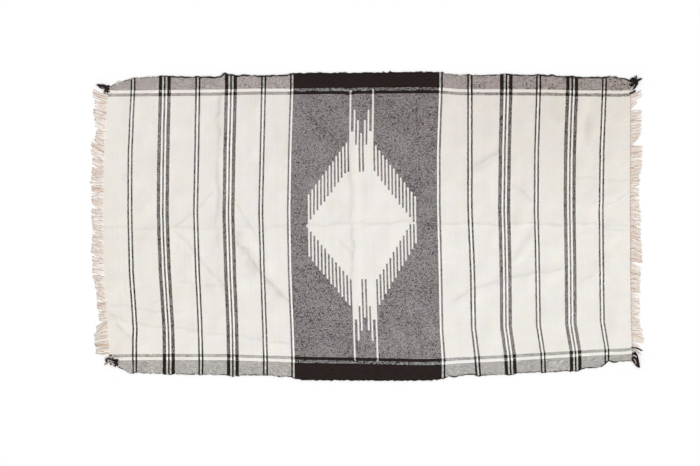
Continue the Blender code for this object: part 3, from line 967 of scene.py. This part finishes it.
def make_fringe(side, end, rows, material, rng):
    """The cut warp ends at one end of the cloth, from roots under its edge."""
    count = int(2 * BORDER_LINE / END)
    v = (np.arange(count) - (count - 1) / 2) * END
    strand = np.cumsum(rng.random(count) < STRAND_BREAK)
    strands = strand[-1] + 1
    strand_v = np.bincount(strand, v, strands) / np.maximum(np.bincount(strand, minlength=strands), 1)
    lean, reach, middle = tuft_of(rows, v)
    root = (lay(np.full(count, end * (HALF_LENGTH - ROOT_INSET)), v) + CENTRING)[:, :2]
    reach = reach * rng.uniform(*STRAND_REACH, strands)[strand] * rng.uniform(*YARN_REACH, count)
    lean = lean + rng.normal(0, STRAND_LEAN, strands)[strand] + rng.normal(0, YARN_LEAN, count)
    to_tuft = (middle - v) * rng.uniform(*TO_TUFT, strands)[strand]
    to_strand = (strand_v[strand] - v) * TO_STRAND
    level = rng.uniform(0, STRAND_LIFT, strands)[strand]
    bend = rng.normal(0, STRAND_BEND, strands)[strand]
    phase = rng.uniform(0, 2 * math.pi, strands)[strand]
    share = np.linspace(0, 1, FRINGE_POINTS)
    x = root[:, :1] + end * (ROOT_INSET + reach)[:, None] * share
    y = root[:, 1:] + lean[:, None] * share**1.25 + to_tuft[:, None] * share**0.9
    y = y + to_strand[:, None] * np.sqrt(share) + bend[:, None] * np.sin(math.pi * share)
    y = y + YARN_WAVE * np.sin(8 * share + phase[:, None])
    z = 1.2 + level[:, None] * np.sin(math.pi * np.clip(share * 1.2, 0, 1)) + 0.4 * share
    z = z + rng.uniform(0, YARN_LIFT, count)[:, None]
    radii = YARN_RADIUS * rng.uniform(0.8, 1.2, count)[:, None] * (1.05 - 0.4 * share**2)
    # Painted shade: strands that lie lower are darker, as if shaded by those above; the rest of the
    # spread is random tone.
    shade = np.sqrt(rng.uniform(0, 1, strands)[strand]) * (0.3 + 0.7 * level / STRAND_LIFT)
    low, high = np.array(FRINGE_LOW), np.array(FRINGE_HIGH)
    colours = low + shade[:, None] * (high - low)
    colours = np.where(rng.random(count)[:, None] < RUST_SHARE, FRINGE_RUST, colours)
    paths = np.stack([x, y, z], axis=2)
    name, node = "fringe_yarns_" + side, "fringe_" + side
    return tubes(name, paths, radii, FRINGE_SIDES, colours, material, node)


# The corner knots: the gathered border ends, as bundles of yarns laid over and round each other
KNOT_PLACES = {
    "tie_upper_left": (-1150, 605, 0),
    "tie_upper_right": (1190, 620, 0),
    "tie_lower_left": (-1120, -600, 0),
    "tie_lower_right": (1195, -585, 0),
}
KNOT_ROWS = {
    # wool, yarns, the bundle's radius at its start and end, and its way from the knot's place
    "tie_upper_left": (
        ("dark", 6, 6, 3, ((19, 12, 2), (11, 10, 4), (3, 6, 7))),
        ("dark", 6, 6, 3, ((18, -2, 2), (11, 0, 4), (2, 3, 6))),
        ("dark", 6, 6, 3, ((17, -17, 2), (9, -10, 4), (1, 0, 6))),
        ("dark", 12, 5, 6, ((9, 8, 8), (-2, 10, 9), (-12, 11, 8), (-26, 13, 6), (-37, 18, 4))),
        ("dark", 11, 5, 4, ((-10, 14, 6), (-3, 7, 13), (4, -5, 12), (9, -15, 7), (11, -22, 3))),
        ("dark", 5, 2.4, 2.0, ((-26, 9, 4), (-21, 3, 6), (-13, 1, 7), (-6, 2, 7))),
        ("dark", 6, 3.5, 5, ((2, -5, 7), (0, -14, 5), (-4, -24, 3))),
        ("light", 3, 2, 3, ((13, -21, 2), (3, -20, 4), (-5, -16, 3))),
    ),
    "tie_upper_right": (
        ("dark", 8, 7, 5, ((-22, 23, 2), (-14, 19, 5), (-4, 14, 8))),
        ("dark", 8, 7, 5, ((-21, -4, 2), (-14, 1, 5), (-4, 9, 8))),
        ("dark", 14, 7, 7, ((-15, 28, 5), (-4, 22, 12), (3, 11, 13), (1, -3, 7))),
        ("dark", 14, 8, 2, ((-7, 5, 9), (0, 22, 8), (7, 42, 3))),
        ("dark", 18, 9, 3, ((-8, 10, 8), (10, 19, 8), (31, 30, 3))),
        ("dark", 12, 7, 3, ((6, 19, 10), (5, 2, 9), (-2, -10, 6), (-11, -22, 3))),
        ("dark", 8, 4, 2.5, ((-24, -37, 3), (-13, -35, 5), (-4, -29, 4), (4, -23, 3))),
        ("light", 5, 5, 3, ((-21, -17, 2), (-10, -22, 3), (2, -22, 3))),
        ("light", 4, 3, 3, ((-22, -42, 2), (-5, -38, 4), (15, -47, 3))),
    ),
    "tie_lower_left": (
        ("dark", 7, 7, 4, ((26, 7, 2), (18, 4, 6), (7, -1, 8))),
        ("dark", 7, 7, 4, ((26, -17, 2), (18, -13, 6), (7, -6, 8))),
        ("dark", 20, 8, 5, ((22, -11, 6), (9, -5, 9), (-7, 2, 8), (-23, 9, 5))),
        ("dark", 12, 6, 5, ((22, 9, 5), (17, -7, 14), (10, -25, 4))),
        ("dark", 12, 6, 5, ((5, 13, 5), (1, -1, 13), (-8, -16, 4))),
        ("dark", 8, 4, 3, ((-8, 11, 5), (-19, 12, 8), (-27, 3, 6), (-21, -5, 4))),
        ("light", 2, 1, 1, ((-19, 7, 12), (-4, 3, 17), (11, -5, 17))),
        ("light", 2, 0.8, 0.8, ((-12, -3, 12), (0, -7, 17), (13, -16, 15))),
        ("pink", 5, 2, 3, ((-18, -5, 5), (-25, -11, 4), (-34, -18, 2))),
        ("dark", 4, 2, 3, ((4, 29, 2), (-5, 28, 3), (-14, 26, 2))),
        ("pink", 4, 2, 3, ((0, 22, 2), (-9, 19, 3), (-15, 16, 3))),
    ),
    "tie_lower_right": (
        ("dark", 8, 6, 5, ((-18, 17, 2), (-12, 15, 6), (-5, 11, 8))),
        ("dark", 8, 6, 5, ((-18, -5, 2), (-11, -2, 6), (-4, 2, 8))),
        ("dark", 20, 5, 4, ((-9, 24, 6), (0, 8, 12), (5, -9, 10), (13, -44, 3))),
        ("dark", 14, 5, 4, ((-12, 6, 6), (-4, -9, 9), (8, -41, 3))),
        ("dark", 9, 4, 3, ((-16, -6, 5), (-8, -19, 7), (5, -40, 3))),
        ("light", 3, 1.6, 1.6, ((-15, 13, 8), (-5, 8, 16), (0, 1, 13))),
        ("pink", 3, 1.4, 1.4, ((-13, -3, 12), (-6, -14, 13), (-1, -27, 9))),
        ("light", 4, 2, 3, ((-16, 33, 2), (5, 26, 5), (23, 11, 3))),
        ("light", 3, 1.5, 2, ((-14, 37, 2), (-2, 36, 4), (10, 33, 3))),
        ("dark", 6, 2, 3, ((-22, 45, 3), (-4, 44, 5), (14, 38, 5), (28, 30, 3))),
    ),
}


def make_knot(node, rows, material, rng):
    """One corner knot of dark yarns and a few pale ones."""
    paths, colours = [], []
    for wool, yarns, start_radius, end_radius, places in rows:
        places = np.add(places, KNOT_PLACES[node])
        paths.append(bundle(places, yarns, start_radius, end_radius, rng) + CENTRING)
        colour, darkest, brightest = KNOT_WOOLS[wool]
        colours.append(np.array(colour) * rng.uniform(darkest, brightest, yarns)[:, None])
    paths = np.concatenate(paths)
    share = np.linspace(0, 1, KNOT_POINTS)
    radii = KNOT_YARN_RADIUS * rng.uniform(0.8, 1.15, len(paths))[:, None] * (1.0 - 0.35 * share**3)
    name = node.replace("tie", "knot")
    tubes(name, paths, radii, KNOT_SIDES, np.concatenate(colours), material, node)


# The selvedges: two dark cords along each long edge, and the wefts' turns past them
SELVEDGE_POINTS = 900
SELVEDGE_SIDES = 5
CORD_ROWS = {
    # side: (u, radius)
    1: (
        (-1150, 1.4), (-960, 1.6), (-870, 2.9), (-360, 2.9), (-300, 1.6), (300, 1.4), (440, 1.8),
        (620, 2.2), (760, 2.8), (1000, 3.0), (1150, 2.4),
    ),
    -1: (
        (-1150, 1.4), (-700, 1.5), (-400, 1.8), (300, 1.6), (370, 2.6), (450, 2.3), (560, 1.6),
        (900, 1.9), (1040, 2.4), (1150, 1.4),
    ),
}
TURNS_A_SIDE = 230
TURN_POINTS = 7


def weft_is_dark(u):
    """Whether the weft at each place along the rug is dark at the long edges."""
    place = np.abs(np.floor(u / PICK) + 0.5)
    pair = np.min([np.abs(place - centre) for centre in PAIR_CENTRES], axis=0)
    triple = np.min([np.abs(place - centre) for centre in TRIPLE_CENTRES], axis=0)
    panel_line, pair_lines, triple_lines = dark_lines(place, pair, triple)
    return (place < PANEL_HALF) | panel_line | pair_lines | triple_lines


def make_cords(material):
    """Two cords along each long edge, which swing over and under each other."""
    cords, radii = [], []
    us = np.linspace(-HALF_LENGTH + 2, HALF_LENGTH - 2, SELVEDGE_POINTS)
    for side in (1, -1):
        edge = lay(us, np.full(SELVEDGE_POINTS, side * HALF_WIDTH)) + CENTRING
        stations, sizes = zip(*CORD_ROWS[side])
        slubs = 1 + 0.25 * np.sin(us / 31 + 2 * side) * np.sin(us / 12)
        radius = np.interp(us, stations, sizes) * slubs
        for cord in range(2):
            line = edge.copy()
            swing = 0.9 * np.sin(us / 6 + 3 * cord) + 0.7 * np.sin(us / 23 + side)
            line[:, 1] += side * (0.5 * radius + 0.5 * swing)
            line[:, 2] += radius + 0.4 * np.sin(us / 6 + 3 * cord + 1.57)
            cords.append(line)
            radii.append(radius)
    colours = [KNOT_WOOLS["dark"][0]] * len(cords)
    tubes("selvedge_cords", cords, radii, SELVEDGE_SIDES, colours, material, None)


def make_weft_turns(material, rng):
    """Small loops where single wefts turn back past the cords."""
    loops, colours = [], []
    for side in (1, -1):
        place = np.sort(rng.uniform(-HALF_LENGTH + 20, HALF_LENGTH - 20, TURNS_A_SIDE))
        out = rng.uniform(0.8, 2.2, TURNS_A_SIDE) ** 2
        wide = rng.uniform(0.9, 2.2, TURNS_A_SIDE) * PICK / 2
        turn = np.linspace(0, math.pi, TURN_POINTS)
        at = place[:, None] - np.cos(turn) * wide[:, None]
        edge = lay(at.ravel(), np.full(at.size, side * HALF_WIDTH)) + CENTRING
        edge = edge.reshape(TURNS_A_SIDE, TURN_POINTS, 3)
        edge[:, :, 1] += side * (np.sin(turn) * (2.4 + out)[:, None] - 1.6)
        edge[:, :, 2] += 2.2 + 1.4 * np.sin(turn)
        loops.append(edge)
        pale = np.where(weft_is_dark(place), 0.0, 1.0)[:, None]
        bright = pale * rng.uniform(0.75, 1.0, TURNS_A_SIDE)[:, None]
        colours.append(np.array(DARK[:3]) * (1 - pale) + np.array(CREAM[:3]) * bright)
    loops = np.concatenate(loops)
    radii = rng.uniform(0.9, 1.4, len(loops))[:, None] * np.ones(TURN_POINTS)
    colours = np.concatenate(colours)
    tubes("weft_turns", loops, radii, SELVEDGE_SIDES, colours, material, None)


def main():
    rng = np.random.default_rng(7)
    cloth = make_cloth()
    fringe_wool = yarn_material("fringe_wool")
    fringes = [
        make_fringe("left", -1, LEFT_TUFTS, fringe_wool, rng),
        make_fringe("right", 1, RIGHT_TUFTS, fringe_wool, rng),
    ]
    knot_wool = yarn_material("knot_wool")
    for node, rows in KNOT_ROWS.items():
        make_knot(node, rows, knot_wool, rng)
    edge_wool = yarn_material("edge_wool")
    make_cords(edge_wool)
    make_weft_turns(edge_wool, rng)
    make_stage()


# The photograph: its size and the rug's middle in pixels, and how many mm a pixel stands for
PHOTO_SIZE = (700, 466)
RUG_MIDDLE = (367.3, 226.5)
PIXEL = 4.42

CAMERA_HEIGHT = 6.0
SENSOR = 36.0
FLOOR_COLOUR = (0.98, 0.98, 0.98, 1.0)
WORLD_LIGHT = 0.62
SUN_LIGHT = 1.75
SUN_WIDTH = 25
SUN_TILT = (20, 40)


def make_stage():
    """The floor, the light, and a camera that looks straight down."""
    scene = bpy.context.scene
    scene.view_settings.view_transform = "Standard"
    bpy.ops.mesh.primitive_plane_add(size=40, location=(0, 0, -0.0002))
    floor = bpy.context.object
    floor.name = "floor"
    material = bpy.data.materials.new("pale_floor")
    material.use_nodes = True
    shader = material.node_tree.nodes["Principled BSDF"]
    shader.inputs["Base Color"].default_value = FLOOR_COLOUR
    shader.inputs["Roughness"].default_value = 1.0
    shader.inputs["Specular IOR Level"].default_value = 0.0
    floor.data.materials.append(material)

    world = bpy.data.worlds.new("studio")
    world.use_nodes = True
    sky = world.node_tree.nodes["Background"]
    sky.inputs["Color"].default_value = (1, 1, 1, 1)
    sky.inputs["Strength"].default_value = WORLD_LIGHT
    scene.world = world
    light = bpy.data.lights.new("window", "SUN")
    light.energy = SUN_LIGHT
    light.angle = math.radians(SUN_WIDTH)
    lamp = bpy.data.objects.new("window", light)
    lamp.rotation_euler = (math.radians(SUN_TILT[0]), math.radians(SUN_TILT[1]), 0)
    scene.collection.objects.link(lamp)

    camera = bpy.data.cameras.new("camera")
    camera.sensor_width = SENSOR
    camera.lens = SENSOR * CAMERA_HEIGHT / (PHOTO_SIZE[0] * PIXEL * MM)
    holder = bpy.data.objects.new("camera", camera)
    right_of_rug = PHOTO_SIZE[0] / 2 - RUG_MIDDLE[0]
    below_rug = PHOTO_SIZE[1] / 2 - RUG_MIDDLE[1]
    holder.location = (right_of_rug * PIXEL * MM, -below_rug * PIXEL * MM, CAMERA_HEIGHT)
    scene.collection.objects.link(holder)
    scene.camera = holder


main()
